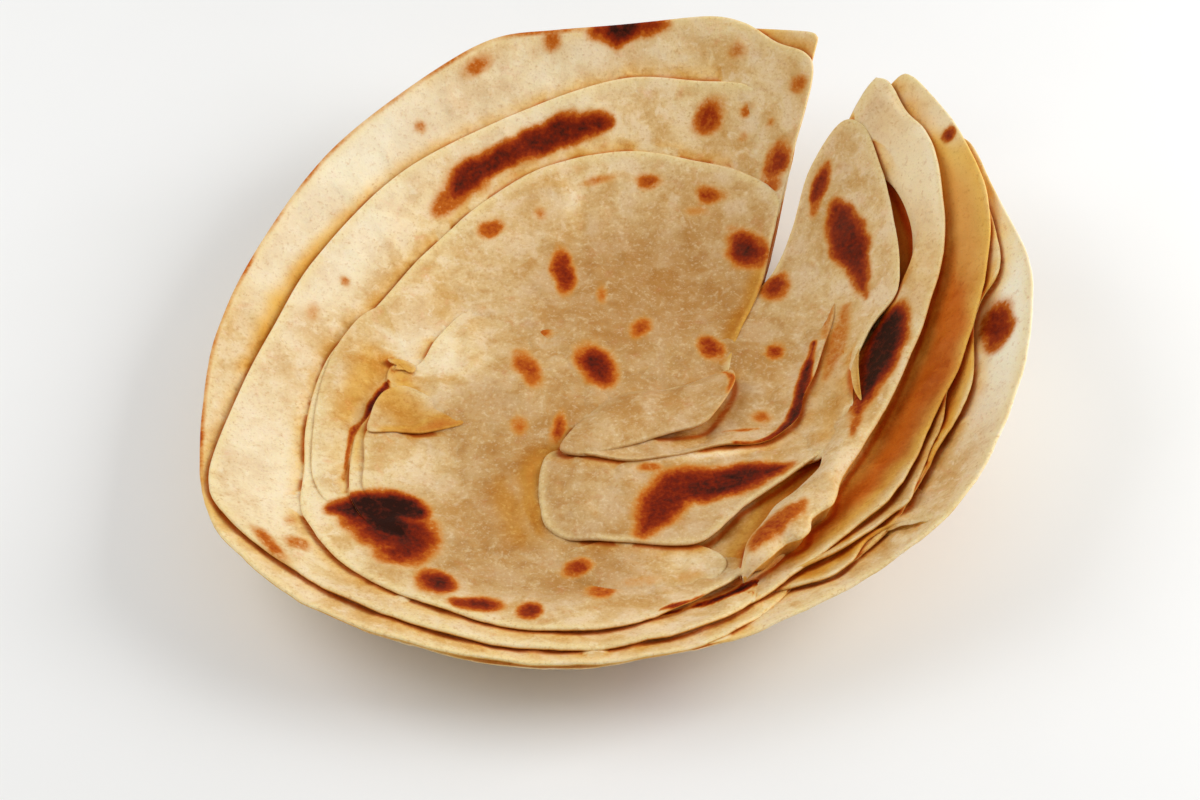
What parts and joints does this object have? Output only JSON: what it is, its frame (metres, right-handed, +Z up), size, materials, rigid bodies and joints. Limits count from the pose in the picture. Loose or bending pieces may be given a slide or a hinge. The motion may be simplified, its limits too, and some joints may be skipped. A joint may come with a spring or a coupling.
{
  "type": "layered flatbread",
  "caption": "Round layered paratha flatbread lying as a shallow cup, cut from its rim towards its middle, with browned spots and thin leaves that step down on one side and fan out on the other.",
  "frame": {"origin": "centre of the bread's box, on the surface that it lies on", "axes": "+Z up through the bread's thickness; the camera of the reference view looks along +Y; the cut runs out from the middle at a bearing of about 50 degrees from +X towards +Y, and the rim is highest near 35 degrees"},
  "size_m": [0.2226, 0.2182, 0.056],
  "materials": {
    "baked_dough": "pan-baked dough, pale cream-brown with dark browned spots and a faint sheen of oil"
  },
  "bodies": {
    "root": {"paratha": "baked_dough"}
  },
  "joints": []
}
